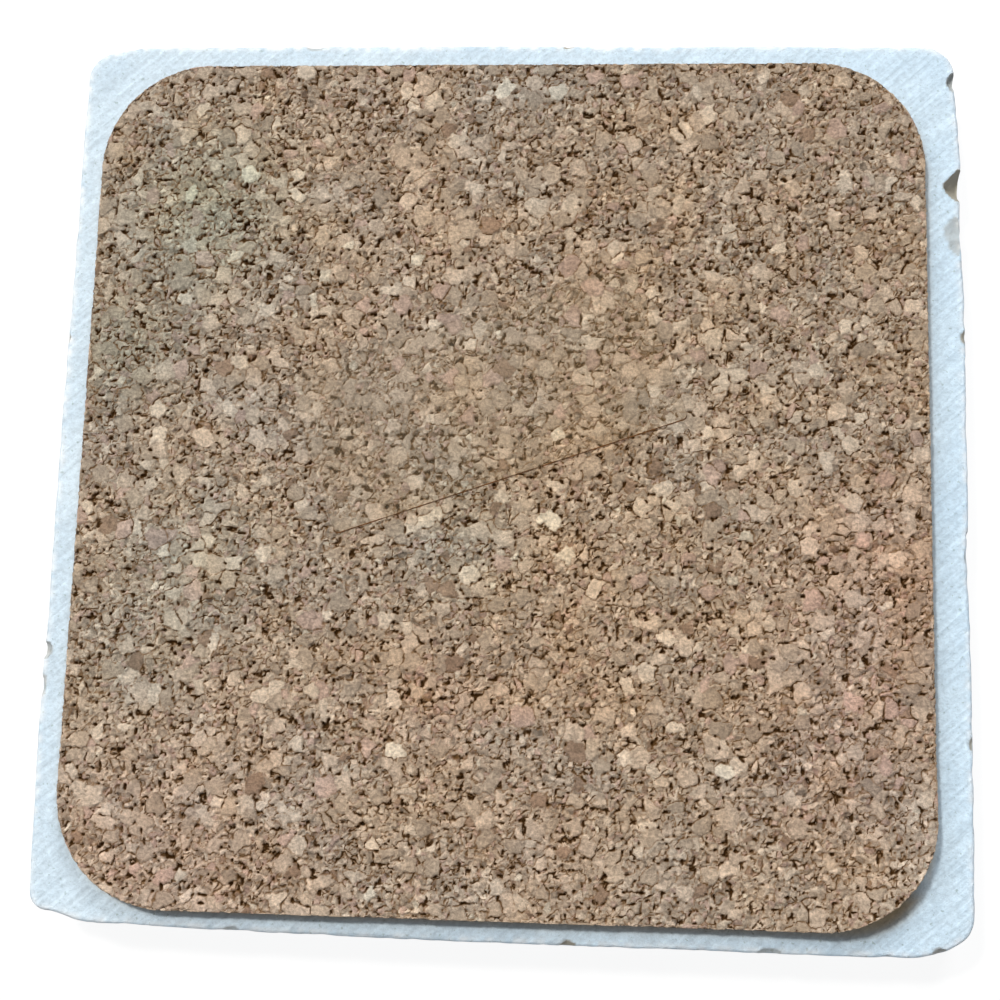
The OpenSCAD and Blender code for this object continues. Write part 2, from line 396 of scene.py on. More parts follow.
def cork_material():
    """Agglomerated cork, sanded: flakes and crumbs of bark in dull tans with dark crevices.

    The mesh gives each granule's colour and how deep in a crevice a point lies. Two ramps paint
    shade into the crevices, sharper than the mesh: brown shade at the lip and dark brown shade
    inside. The fleck is 0.35 mm, and a grit of 0.4 mm, each grain flat and of one tone, breaks up
    the flakes. All is matte.
    """
    material, tree, place = new_material("sanded_agglomerated_cork")
    own = add_node(tree, "ShaderNodeAttribute", {"attribute_name": "granule"}).outputs["Color"]
    fleck = add_node(tree, "ShaderNodeTexNoise", Vector=place, Scale=1 / (0.35 * MM), Detail=4.0,
                     Roughness=0.75)
    tone = add_node(tree, "ShaderNodeMapRange", i0=fleck.outputs["Fac"], i1=0.34, i2=0.66, i3=0.7, i4=1.35)
    bent = add_node(tree, "ShaderNodeVectorMath", {"operation": "MULTIPLY_ADD"},
                    i0=fleck.outputs["Color"], i1=(0.3 * MM, 0.3 * MM, 0.3 * MM), i2=place)
    grit = add_node(tree, "ShaderNodeTexVoronoi", Vector=bent.outputs[0], Scale=1 / (0.4 * MM))
    grain = add_node(tree, "ShaderNodeSeparateColor", Color=grit.outputs["Color"]).outputs[0]
    grain_tone = add_node(tree, "ShaderNodeMapRange", i0=grain, i1=0.0, i2=1.0, i3=0.87, i4=1.13)
    both = add_node(tree, "ShaderNodeMath", {"operation": "MULTIPLY"},
                    i0=tone.outputs[0], i1=grain_tone.outputs[0])
    shaded = add_node(tree, "ShaderNodeVectorMath", {"operation": "SCALE"},
                      Vector=own, Scale=both.outputs[0])
    # Crevices: painted shade, brown at the lip and dark brown inside
    crevice = add_node(tree, "ShaderNodeAttribute", {"attribute_name": "crevice"}).outputs["Fac"]
    lip = add_node(tree, "ShaderNodeMapRange", {"interpolation_type": "SMOOTHSTEP"},
                   Value=crevice, From_Min=0.15, From_Max=0.65, To_Min=0.0, To_Max=0.75)
    deep = add_node(tree, "ShaderNodeMapRange", {"interpolation_type": "SMOOTHSTEP"},
                    Value=crevice, From_Min=0.45, From_Max=0.9, To_Min=0.0, To_Max=0.95)
    painted_lip_shade = add_node(tree, "ShaderNodeMix", {"data_type": "RGBA"}, i0=lip.outputs[0],
                       i6=shaded.outputs[0], i7=rgba("#866035"))
    mixed = add_node(tree, "ShaderNodeMix", {"data_type": "RGBA"}, i0=deep.outputs[0],
                     i6=painted_lip_shade.outputs[2], i7=rgba("#3a2102"))
    sunk = add_node(tree, "ShaderNodeMath", {"operation": "SUBTRACT"},
                    i0=both.outputs[0], i1=deep.outputs[0])
    bump = add_node(tree, "ShaderNodeBump", Strength=1.0, Distance=0.125 * MM, Height=sunk.outputs[0])
    shader = add_node(tree, "ShaderNodeBsdfPrincipled", Base_Color=mixed.outputs[2],
                      Normal=bump.outputs[0], Roughness=0.9, Specular_IOR_Level=0.06)
    add_node(tree, "ShaderNodeOutputMaterial", Surface=shader.outputs[0])
    return material


def marble_material():
    """Natural white marble: sawn back with saw lines, tumbled sides, sugary fracture in the chips.

    The crystals are 0.6 mm, the saw lines as far apart and a fourteenth as wide as long; few
    grey-green specks of 0.3 mm are scattered in it. Painted light makes it cooler and lighter to
    the right and lighter to the near side. Knocks have whitened the arris, with a painted
    highlight on the far left, where it faces the lamps; chips are drawn darker, dirty fracture
    and painted shade. Cork dust and painted warm shade brown it beside the pad.
    """
    material, tree, place = new_material("tumbled_white_marble")
    cloud = add_node(tree, "ShaderNodeTexNoise", Vector=place, Scale=1 / (9 * MM), Detail=5.0,
                     Roughness=0.65)
    veined = add_node(tree, "ShaderNodeMix", {"data_type": "RGBA"}, i0=cloud.outputs["Fac"],
                      i6=rgba("#c1d6e6"), i7=rgba("#dfecf3"))
    spread = add_node(tree, "ShaderNodeSeparateXYZ", Vector=place)
    # Painted light: cooler and lighter to the right
    cooler = add_node(tree, "ShaderNodeMapRange", i0=spread.outputs["X"], i1=-TONE_REACH, i2=TONE_REACH,
                      i3=0.0, i4=1.0)
    base = add_node(tree, "ShaderNodeMix", {"data_type": "RGBA", "blend_type": "MULTIPLY"},
                    i0=cooler.outputs[0], i6=veined.outputs[2], i7=(1.02, 1.06, 1.09, 1))
    grain = add_node(tree, "ShaderNodeTexNoise", Vector=place, Scale=1 / (0.6 * MM), Detail=6.0,
                     Roughness=0.75)
    mottle = add_node(tree, "ShaderNodeMapRange", i0=grain.outputs["Fac"], i1=0.3, i2=0.7, i3=0.77, i4=1.12)
    turned_place = add_node(tree, "ShaderNodeMapping", Vector=place, Rotation=(0, 0, SAW_TURN))
    drawn = add_node(tree, "ShaderNodeVectorMath", {"operation": "MULTIPLY"},
                     i0=turned_place.outputs[0], i1=(0.07, 1.0, 1.0))
    saw = add_node(tree, "ShaderNodeTexNoise", Vector=drawn.outputs[0], Scale=1 / (0.6 * MM), Detail=3.0)
    lines = add_node(tree, "ShaderNodeMapRange", i0=saw.outputs["Fac"], i1=0.35, i2=0.65, i3=0.92, i4=1.06)
    mark = add_node(tree, "ShaderNodeMath", {"operation": "MULTIPLY"},
                    i0=mottle.outputs[0], i1=lines.outputs[0])
    # Painted light: lighter to the near side
    nearer = add_node(tree, "ShaderNodeMapRange", i0=spread.outputs["Y"], i1=-TONE_REACH, i2=TONE_REACH,
                      i3=1.06, i4=0.95)
    toned = add_node(tree, "ShaderNodeMath", {"operation": "MULTIPLY"},
                     i0=mark.outputs[0], i1=nearer.outputs[0])
    crystal = add_node(tree, "ShaderNodeVectorMath", {"operation": "SCALE"},
                       Vector=base.outputs[2], Scale=toned.outputs[0])
    speck = add_node(tree, "ShaderNodeTexNoise", Vector=place, Scale=1 / (0.5 * MM), Detail=2.0)
    dotted = add_node(tree, "ShaderNodeMapRange", i0=speck.outputs["Fac"], i1=0.64, i2=0.72, i3=0.0, i4=0.6)
    specked = add_node(tree, "ShaderNodeMix", {"data_type": "RGBA"}, i0=dotted.outputs[0],
                       i6=crystal.outputs[0], i7=rgba("#8fa3a0"))
    # Knock bruises whiten the arris, and a painted highlight whitens it more on the side facing the lamps
    bruised = add_node(tree, "ShaderNodeAttribute", {"attribute_name": "bruised"}).outputs["Fac"]
    worn = add_node(tree, "ShaderNodeMix", {"data_type": "RGBA"}, i0=bruised,
                    i6=specked.outputs[2], i7=rgba("#ffffff"))
    # Chips: a darker beige-grey, partly dirty fracture, partly painted shade in the hollows
    chipped = add_node(tree, "ShaderNodeAttribute", {"attribute_name": "chipped"}).outputs["Fac"]
    broken = add_node(tree, "ShaderNodeMix", {"data_type": "RGBA"}, i0=chipped,
                      i6=worn.outputs[2], i7=rgba("#a09a8b"))
    # Cork dust by the pad, and painted warm shade that browns the loose corner's shadow
    dusty = add_node(tree, "ShaderNodeAttribute", {"attribute_name": "dusty"}).outputs["Fac"]
    warmed = add_node(tree, "ShaderNodeMix", {"data_type": "RGBA", "blend_type": "MULTIPLY"},
                      i0=dusty, i6=broken.outputs[2], i7=(0.86, 0.53, 0.27, 1))
    relief = add_node(tree, "ShaderNodeMath", {"operation": "ADD"},
                      i0=grain.outputs["Fac"], i1=saw.outputs["Fac"])
    bump = add_node(tree, "ShaderNodeBump", Strength=1.0, Distance=0.13 * MM, Height=relief.outputs[0])
    shader = add_node(tree, "ShaderNodeBsdfPrincipled", Base_Color=warmed.outputs[2],
                      Normal=bump.outputs[0], Roughness=0.55, IOR=1.49)
    add_node(tree, "ShaderNodeOutputMaterial", Surface=shader.outputs[0])
    return material


def adhesive_material():
    """Acrylic transfer adhesive: a thin cream-coloured film, mottled by noise."""
    material, tree, place = new_material("acrylic_transfer_adhesive")
    dust = add_node(tree, "ShaderNodeTexNoise", Vector=place, Scale=1 / (0.8 * MM), Detail=4.0)
    mixed = add_node(tree, "ShaderNodeMix", {"data_type": "RGBA"}, i0=dust.outputs["Fac"],
                     i6=rgba("#b3a68c"), i7=rgba("#ddd4bd"))
    shader = add_node(tree, "ShaderNodeBsdfPrincipled", Base_Color=mixed.outputs[2], Roughness=0.5)
    add_node(tree, "ShaderNodeOutputMaterial", Surface=shader.outputs[0])
    return material


def film_material():
    """Clear polypropylene label film, satin: thin enough that the cork shows through it."""
    material, tree, place = new_material("clear_polypropylene_film")
    haze = add_node(tree, "ShaderNodeTexNoise", Vector=place, Scale=1 / (3 * MM), Detail=3.0)
    mixed = add_node(tree, "ShaderNodeMix", {"data_type": "RGBA"}, i0=haze.outputs["Fac"],
                     i6=rgba("#a08458"), i7=rgba("#b89c6e"))
    ripple = add_node(tree, "ShaderNodeBump", Strength=0.4, Distance=0.05 * MM, Height=haze.outputs["Fac"])
    shader = add_node(tree, "ShaderNodeBsdfPrincipled", Base_Color=mixed.outputs[2],
                      Normal=ripple.outputs[0], Alpha=0.05, Roughness=0.35, IOR=1.49)
    add_node(tree, "ShaderNodeOutputMaterial", Surface=shader.outputs[0])
    return material


def film_edge_material():
    """Cut edge of the label film: a thin dark brown line, broken into patches."""
    material, tree, place = new_material("dusty_film_edge")
    dust = add_node(tree, "ShaderNodeTexNoise", Vector=place, Scale=1 / (1.2 * MM), Detail=4.0)
    mixed = add_node(tree, "ShaderNodeMix", {"data_type": "RGBA"}, i0=dust.outputs["Fac"],
                     i6=rgba("#2b170a"), i7=rgba("#7c4f26"))
    amount = add_node(tree, "ShaderNodeAttribute", {"attribute_name": "dust"}).outputs["Fac"]
    broken = add_node(tree, "ShaderNodeMapRange", i0=dust.outputs["Fac"], i1=0.35, i2=0.6, i3=0.35, i4=1.0)
    cover = add_node(tree, "ShaderNodeMath", {"operation": "MULTIPLY"}, i0=amount, i1=broken.outputs[0])
    shader = add_node(tree, "ShaderNodeBsdfPrincipled", Base_Color=mixed.outputs[2],
                      Alpha=cover.outputs[0], Roughness=0.7, Specular_IOR_Level=0.1)
    add_node(tree, "ShaderNodeOutputMaterial", Surface=shader.outputs[0])
    return material


# Stone tile

def worn_depth(at):
    """Depth worn into the outline: each hollow is a bell curve of the distance to its middle."""
    depth = np.zeros(len(at))
    for side, place, share, reach in HOLLOWS:
        out, along = side_axes(side)
        middle = (out + along * place) * tile_half
        away = np.linalg.norm(at - middle, axis=1) / (reach * tile_half)
        depth += WEAR_DEPTH * share * np.exp(-away * away)
    return depth


def slow_wave(turn, shift):
    """Sum of three sine waves with 5, 11 and 23 turns round the tile, between -1 and 1."""
    shift = math.radians(shift)
    return (np.sin(5 * turn + shift) + np.sin(11 * turn + 2 * shift) + np.sin(23 * turn)) / 3


def chip_balls():
    """Middle and radius of every ball that scoops a chip out of an arris."""
    for chips, face, up in ((BACK_CHIPS, tile_high[2], 1), (FACE_CHIPS, tile_low[2], -1)):
        for side, place, outside, above, radius in chips:
            out, along = side_axes(side)
            at = out * (tile_half + outside * CHIP_BALL) + along * place * tile_half
            yield np.array([*at, face + up * above * CHIP_BALL]), radius * CHIP_BALL


def pit_balls(seed):
    """Small balls along the sides for the pits that tumbling opens; they lie mostly outside."""
    draw = np.random.default_rng(seed)
    for _ in range(PIT_COUNT):
        out, along = side_axes(draw.integers(4))
        radius = draw.uniform(*PIT_RADII)
        at = out * (tile_half + radius * draw.uniform(0.2, 0.7))
        at = at + along * draw.uniform(-0.93, 0.93) * tile_half
        yield np.array([*at, draw.uniform(tile_low[2], tile_high[2])]), radius


def stone_section(count):
    """Inset and height of the rings from the drinking face's arris up to the back's.

    An arris is a quarter turn of its radius, which waves round the tile; the side lies behind the
    outline by half a sine wave, which varies as well.
    """
    turn = np.arange(count) / count * 2 * math.pi
    uneven = 1 + slow_wave(turn, 30) / 3
    thick = tile_high[2] - tile_low[2]
    quarter = np.linspace(0, math.pi / 2, ARRIS_RINGS)
    insets, heights = [], []
    for bend in quarter:
        insets.append(FACE_ARRIS * uneven * (1 - np.sin(bend)))
        heights.append(FACE_ARRIS * uneven * (1 - np.cos(bend)))
    for share in np.linspace(0, 1, SIDE_RINGS + 2)[1:-1]:
        relief = SIDE_RELIEF * math.sin(share * math.pi) * (1 + slow_wave(turn, 80 + 90 * share)) / 2
        insets.append(relief)
        heights.append(FACE_ARRIS * uneven + (thick - (FACE_ARRIS + BACK_ARRIS) * uneven) * share)
    for bend in quarter[::-1]:
        insets.append(BACK_ARRIS * uneven * (1 - np.sin(bend)))
        heights.append(thick - BACK_ARRIS * uneven * (1 - np.cos(bend)))
    return np.array(insets), np.array(heights)


def cut_chips(points):
    """Cuts the chips and pits into the stone's points, and returns how dark each point is drawn.

    What lies in the ball of a chip or pit is pushed out to its surface, which two noises, of 0.09
    and 0.06 mm, make uneven. Small balls are cut flat by chance planes, the facets of a sharp
    fracture.
    """
    chipped = np.zeros(len(points))
    facet = 0.09 * lattice_noise(points, 1.1 * MM, 6) + 0.06 * lattice_noise(points, 0.45 * MM, 7)
    draw = np.random.default_rng(8)
    for middle, radius in [*chip_balls(), *pit_balls(5)]:
        near = np.flatnonzero(np.abs(points - middle).max(1) < 1.3 * radius)
        gap = points[near] - middle
        length = np.linalg.norm(gap, axis=1)
        share = length / (radius + facet[near] * MM)
        if radius < SHARP_BALL:
            planes = draw.normal(size=(PLANE_COUNT, 3))
            away = draw.uniform(*PLANE_SHARES, (PLANE_COUNT, 1))
            planes /= np.linalg.norm(planes, axis=1)[:, None] * away
            share = np.maximum(share, (gap @ planes.T).max(1) / radius)
        inside = (share < 1) & (share > 0)
        moved = near[inside]
        points[moved] = middle + gap[inside] / share[inside, None]
        # Chips and pits are drawn darker: partly dirty fracture, partly painted shade in the hollow
        chip_dirt_and_shade = np.clip(length[inside] * (1 / share[inside] - 1) / CHIP_DIRT_AND_SHADE_DEPTH, 0, 1)
        chip_dirt_and_shade *= min(radius / CHIP_BALL, 1) if radius < SHARP_BALL else 0.5
        chipped[moved] = np.maximum(chipped[moved], chip_dirt_and_shade)
    return chipped


def stone_points():
    """Rings of points from the drinking face up to the back, their chip darkening, and the counts.

    Two noises, of 0.16 and 0.07 mm, roughen what was tumbled, outwards by 0.03 mm at most, and then
    the chips are cut.
    """
    count = int(8 * tile_half / STONE_STEP)
    at, out, _ = rounded_outline(tile_half, tile_half, TILE_CORNERS, count)
    insets, heights = stone_section(count)
    body = np.concatenate([at - out * (worn_depth(at) + insets)[..., None], heights[..., None]], -1)
    flat = []
    for steps in (FACE_RINGS[::-1], BACK_RINGS):
        scale = 1 - steps[:, None, None] / tile_half
        flat.append(np.concatenate([scale, scale, np.ones_like(scale)], -1))
    points = np.concatenate([body[:1] * flat[0], body, body[-1:] * flat[1]])
    points[..., 2] += tile_low[2]
    rings = len(points)
    tumbled = np.zeros((rings, count))
    tumbled[len(FACE_RINGS):-len(BACK_RINGS)] = np.clip(1 - insets / FACE_ARRIS, 0, 1)
    points, tumbled = points.reshape(-1, 3), tumbled.ravel()
    rough = 0.16 * lattice_noise(points, 2.6 * MM, 3) + 0.07 * lattice_noise(points, 0.9 * MM, 4)
    sideways = np.concatenate([out, np.zeros((count, 1))], 1)[None].repeat(rings, 0).reshape(-1, 3)
    points += sideways * (np.minimum(rough, 0.03) * MM * tumbled)[:, None]
    chipped = cut_chips(points)
    points[:, 2] = np.clip(points[:, 2], tile_low[2], tile_high[2])
    return points, chipped, rings, count


def dust_and_painted_shade_share(points, beside, way):
    """How much cork dust and painted warm shade lie on the back, for the distance and the direction
    from the pad.

    Beside the corner that has come unstuck it is thicker, reaches further and ends more sharply:
    there it is painted warm shade that browns the corner's shadow.
    """
    # Painted warm shade as well as dust: strongest where the loose corner's shadow falls
    loose = np.clip(way @ LOOSE_WAY, 0, 1) ** 8
    reach = DUST_AND_SHADE_REACH * (1 + LOOSE_REACH_SHARE * loose)
    dusty = (0.45 + 0.55 * loose) * np.exp(-(np.maximum(beside, 0) / reach) ** (2 + 2 * loose))
    return dusty * (points[:, 2] > tile_high[2] - DUST_AND_SHADE_LEVEL)


def bruise_and_highlight_share(points, way, rings, count):
    """How white knock bruises and a painted highlight make the arris; the highlight is on the far
    left, where the arris faces the lamps.

    A point's inset is its distance from the middle ring. The last two points aren't in a ring.
    """
    rows = points[:-2, :2].reshape(rings, count, 2)
    inset = np.linalg.norm(rows - rows[rings // 2], axis=-1)
    # lit: painted highlight on the arris where it faces the lamps
    lit = np.clip(way[:-2].reshape(rings, count, 2) @ LIT_WAY, 0, 1)
    bruised = (0.25 + 0.1 * lit) * np.exp(-(inset / BRUISE_AND_HIGHLIGHT_REACH) ** 2)
    knocks = np.clip(1 + 2.2 * lattice_noise(points, KNOCK_GRAIN, 9), 0, 2.2)
    return np.append(bruised.ravel(), [0, 0]) * knocks


def make_stone(material):
    """The tumbled slab; each face closes with scaled rings and a fan to its middle.

    Every point carries how chipped it is, its dust and painted warm shade, and its bruise and
    painted highlight.
    """
    points, chipped, rings, count = stone_points()
    scales = [np.array([share, share, 1]) for share in CLOSING_SHARES]
    under = [points[:count] * scale for scale in scales[::-1]]
    over = [points[-count:] * scale for scale in scales]
    ends = [[0, 0, tile_low[2]], [0, 0, tile_high[2]]]
    points = np.concatenate([*under, points, *over, ends])
    rings += 2 * len(scales)
    unbroken = np.zeros(count * len(scales))
    half_w, half_d, middle = pad_sizes()
    beside, way = outside_by(points[:, :2] - middle, half_w, half_d, CORK_CORNER)
    piece = make_piece("marble_stone", points, capped_rings(rings, count), material, "marble",
                       smooth=True, chipped=np.concatenate([unbroken, chipped, unbroken, [0, 0]]),
                       dusty=dust_and_painted_shade_share(points, beside, way),
                       bruised=bruise_and_highlight_share(points, way, rings, count))
    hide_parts("marble_tile")


# Cork pad

def pad_sizes():
    """Half width, half depth and middle of the pad, from its box and its small turn."""
    size = cork_high - cork_low
    slip = math.sin(CORK_TURN)
    half_w = (size[0] - (size[1] - 2 * CORK_CORNER) * slip) / 2
    half_d = (size[1] - (size[0] - 2 * CORK_CORNER) * slip) / 2
    return half_w, half_d, (cork_low + cork_high)[:2] / 2


def turned(points, angle):
    """Points turned anticlockwise about the vertical through the origin."""
    cosine, sine = math.cos(angle), math.sin(angle)
    flat = points[..., :2] @ np.array([[cosine, sine], [-sine, cosine]])
    return np.concatenate([flat, points[..., 2:]], -1)


def corner_lift(at):
    """Rise of the pad where its near right corner has come unstuck.

    It grows with the square of the distance past a line across the corner.
    """
    half_w, half_d, middle = pad_sizes()
    way = np.array([1, -1]) / math.sqrt(2)
    tip = np.array([half_w - CORK_CORNER, CORK_CORNER - half_d]) @ way + CORK_CORNER
    past = (at - middle) @ way - (tip - LIFT_REACH)
    return LIFT_HEIGHT * (np.maximum(past, 0) / LIFT_REACH) ** 2


def core_lift(lift):
    """Rise of the level where face and body meet, for the rise of the face: only its last part."""
    return np.maximum(lift - LIFT_SLACK, 0)


def outside_by(at, half_w, half_d, corner):
    """Signed distance of points to a rounded rectangle, and the direction out of it."""
    fold = np.abs(at) - np.array([half_w - corner, half_d - corner])
    beyond = np.maximum(fold, 0)
    length = np.linalg.norm(beyond, axis=-1)
    distance = length + np.minimum(fold.max(-1), 0) - corner
    straight = np.eye(2)[fold.argmax(-1)]
    way = np.where(length[..., None] > 1e-9, beyond / np.maximum(length, 1e-9)[..., None], straight)
    return distance, way * np.where(at < 0, -1, 1)


def chance(numbers, seed):
    """A fixed random value from 0 to 1 for each of these whole numbers."""
    return np.random.default_rng(seed).random(int(numbers.max()) + 1)[numbers]


def packed_cells(at, pitch, heavy, seed):
    """For each point: its granule's number, the neighbour's number, its middle, the border's distance.

    Sites are scattered one to a square of the pitch. A point belongs to the site with the least
    squared distance less weight, as in a weighted Voronoi diagram; its distance from the border is
    half of what the runner-up lacks, over the distance between the two sites.
    """
    draw = np.random.default_rng(seed)
    low = at.min((0, 1)) - 3 * pitch
    size = ((at.max((0, 1)) - low) / pitch).astype(int) + 4
    square = np.stack(np.meshgrid(*(np.arange(width) for width in size), indexing="ij"), -1)
    sites = low + (square + draw.uniform(0.03, 0.97, square.shape)) * pitch
    weight = draw.random(tuple(size)) ** 2 * heavy * pitch ** 2
    cell = ((at - low) / pitch).astype(int)
    first = np.full(at.shape[:-1], np.inf)
    second = first.copy()
    mine = np.zeros(at.shape[:-1], int)
    rival = mine.copy()
    for i in range(-2, 3):
        for j in range(-2, 3):
            x = cell[..., 0] + i
            y = cell[..., 1] + j
            gap = ((at - sites[x, y]) ** 2).sum(-1) - weight[x, y]
            number = x * size[1] + y
            nearest = gap < first
            nearer = gap < second
            second = np.where(nearest, first, np.where(nearer, gap, second))
            rival = np.where(nearest, mine, np.where(nearer, number, rival))
            first = np.where(nearest, gap, first)
            mine = np.where(nearest, number, mine)
    flat = sites.reshape(-1, 2)
    apart = np.linalg.norm(flat[mine] - flat[rival], axis=-1)
    return mine, rival, flat[mine], (second - first) / (2 * np.maximum(apart, 1e-9))


def cork_tones(numbers, seed):
    """Each granule's colour: a bark tone drawn by chance, made a little lighter or darker."""
    tones = [("#b9a48f", 0.3), ("#ac9883", 0.27), ("#c2af9a", 0.17), ("#a08e7b", 0.13),
             ("#b09685", 0.09), ("#8d7561", 0.03), ("#c9baa5", 0.012)]
    share = np.cumsum([part for _, part in tones])
    table = np.array([to_linear(tone) for tone, _ in tones])
    picked = table[np.searchsorted(share / share[-1], chance(numbers, seed))]
    return picked * (0.94 + 0.3 * chance(numbers, seed + 1))[..., None]


def cork_surface(at, seed):
    """Height, at most 0, colour and crevice share of agglomerated cork at a grid of points.

    Whole flakes of bark lie among crumbs, two cell patterns whose borders are bent by noise. Each
    granule has a level, a tilt and a tone of its own, with painted shade toward its border.
    Borders are crevices of chance depth, which gape where another noise is high; the sanded plane
    cuts off whatever stands above it.
    """
    flat = np.concatenate([at, np.zeros((*at.shape[:-1], 1))], -1)
    slow = np.stack([lattice_noise(flat, SLOW_GRAIN, seed + k) for k in (1, 2)], -1)
    quick = np.stack([lattice_noise(flat, QUICK_GRAIN, seed + k) for k in (3, 4)], -1)
    bent = at + slow * SLOW_BEND + quick * QUICK_BEND
    flake, beside, flake_middle, flake_border = packed_cells(bent, FLAKE_PITCH, 0.9, seed)
    crumb, by_crumb, crumb_middle, crumb_border = packed_cells(bent, CRUMB_PITCH, 0.6, seed + 5)
    whole = chance(flake, seed + 6) < WHOLE_SHARE
    count = int(flake.max()) + 1
    number = np.where(whole, flake, crumb + count)
    outer = whole | (flake_border < crumb_border)
    border = np.where(outer, flake_border, crumb_border)
    pair = np.where(outer, flake + beside, crumb + by_crumb + 2 * count)
    middle = np.where(whole[..., None], flake_middle, crumb_middle)
    gape = np.clip(1.9 * lattice_noise(flat, GAPE_GRAIN, seed + 7) - 0.48, 0, 1)
    strength = np.maximum(0.12 + 0.8 * chance(pair, seed + 8) ** 1.8, gape)
    width = CREVICE_WIDTH + GAPE_WIDTH * gape
    crevice = strength * np.exp(-(border / width) ** 2)
    slope = np.stack([chance(number, seed + k) - 0.5 for k in (9, 10)], -1)
    slope = slope * np.where(whole, FLAKE_TILT, CRUMB_TILT)[..., None]
    level = -chance(number, seed + 11) ** 2 * np.where(whole, FLAKE_DEPTH, CRUMB_DEPTH)
    torn = ~whole & (chance(number, seed + 12) < TORN_SHARE)
    level = level - torn * TORN_DEPTH
    height = level + ((bent - middle) * slope).sum(-1) - (CREVICE_DEPTH + GAPE_DEPTH * gape) * crevice
    height = height + GRANULE_ROUGHNESS * quick.sum(-1)
    colour = cork_tones(number, seed + 13) * (1 - 0.3 * torn)[..., None]
    # Painted shade: each granule darker toward its border
    painted_border_shade = 1.07 - 0.19 * np.exp(-(border / BORDER_REACH) ** 2)
    inner = (1 + 0.09 * slow.sum(-1) + 0.08 * quick[..., 0]) * painted_border_shade
    return np.minimum(height, SANDED_LEVEL), colour * inner[..., None], crevice


def tinted(colour, place):
    """Colours times the tints of the places they lie in, given as shares of the half pad.

    Two noises make patches warmer and others lighter, and painted light makes all lighter to the
    near side.
    """
    for x, y, reach, ratio in CORK_TINTS:
        near = np.exp(-((place - (x, y)) ** 2).sum(-1) / reach ** 2)[..., None]
        colour = colour * (1 + near * (np.array(ratio) - 1))
    flat = np.concatenate([place, np.zeros((*place.shape[:-1], 1))], -1)
    warm = lattice_noise(flat, 0.085, 11)[..., None]
    shade = lattice_noise(flat, 0.047, 12)[..., None]
    # Painted light: all lighter to the near side
    nearer = 1 - 0.06 * place[..., 1:]
    return colour * (1 + warm * np.array([0.05, 0.0, -0.06])) * (1 + 0.08 * shade) * nearer


def close_below(quads, points, floor, **attributes):
    """A patch of quads made solid: walls drop from its open edges to the floor, which a fan closes.

    An edge is open when no neighbouring quad runs along it the other way. The floor is a height
    for every point.
    """
    members, local = np.unique(quads, return_inverse=True)
    local = local.reshape(quads.shape)
    count = len(members)
    start, end = local.ravel(), np.roll(local, -1, 1).ravel()
    rim = ~np.isin(start * count + end, end * count + start)
    start, end = start[rim], end[rim]
    ring = np.unique(np.concatenate([start, end]))
    below_start, below_end = (count + np.searchsorted(ring, ends) for ends in (start, end))
    chosen = members[np.concatenate([np.arange(count), ring, ring[:1]])]
    solid = points[chosen]
    solid[-1] = points[members[ring]].mean(0)
    solid[count:, 2] = floor[chosen[count:]]
    walls = np.stack([below_start, below_end, end, start], 1)
    fan = np.stack([below_end, below_start, np.full(len(start), len(solid) - 1)], 1)
    return solid, [local, walls, fan], {key: values[chosen] for key, values in attributes.items()}


def make_cork_face(material):
    """The sanded face of the pad: a fine grid, drawn in to the outline, in closed pieces.

    Each piece runs one column into the next, where it lies a little lower, so no seam shows. At the
    outline a point is drawn in the further, the deeper it lies; under the label the cork makes room
    for the film.
    """
    half_w, half_d, middle = pad_sizes()
    spans = [np.linspace(-half - CORK_STEP, half + CORK_STEP, int(2 * half / CORK_STEP) + 3)
             for half in (half_w, half_d)]
    at = np.stack(np.meshgrid(*spans, indexing="ij"), -1)
    height, colour, crevice = cork_surface(at, 30)
    colour = tinted(colour, at / np.array([half_w, half_d]))
    distance, way = outside_by(at, half_w, half_d, CORK_CORNER)
    rim = np.exp(-(np.minimum(distance, 0) / RIM_REACH) ** 2)
    inset = 0.05 * MM - 0.4 * height
    at = at - way * np.where(distance > -0.5 * CORK_STEP, distance + inset, 0)[..., None]
    film = label_high[2] - label_low[2]
    height = np.where(under_label(at, middle), height - film, height - RIM_DROP * rim)
    points = turned(np.concatenate([at, height[..., None]], -1), CORK_TURN)
    points[..., :2] += middle
    lift = corner_lift(points[..., :2])
    points[..., 2] += cork_high[2] + lift
    floor = cork_high[2] - FACE_DEPTH + core_lift(lift).ravel()
    number = np.arange(height.size).reshape(height.shape)
    quads = np.stack([number[:-1, :-1], number[1:, :-1], number[1:, 1:], number[:-1, 1:]], -1)
    within = distance < 0.55 * CORK_STEP
    used = within[:-1, :-1] & within[1:, :-1] & within[1:, 1:] & within[:-1, 1:]
    edges = np.linspace(0, len(used), FACE_PIECES + 1).astype(int)
    for part, (low, high) in enumerate(zip(edges[:-1], edges[1:]), 1):
        wide = slice(max(low - 1, 0), high + 1)
        shared = points.copy()
        shared[:low, :, 2] -= SEAM_DROP
        shared[high + 1:, :, 2] -= SEAM_DROP
        solid, faces, carried = close_below(
            quads[wide][used[wide]], shared.reshape(-1, 3), floor,
            granule=colour.reshape(-1, 3), crevice=crevice.ravel(),
        )
        piece = make_piece(f"cork_face_{part}", solid, faces, material, "cork", smooth=True, **carried)
        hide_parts("cork_pad")


def under_label(at, middle):
    """Whether places in the pad's own directions, from its middle, lie under the label."""
    label_middle = (label_low + label_high)[:2] / 2
    local = turned(turned(at, CORK_TURN) + (middle - label_middle), -LABEL_TURN)
    return (np.abs(local[..., 0]) < LABEL_LENGTH / 2) & (np.abs(local[..., 1]) < LABEL_WIDTH / 2)


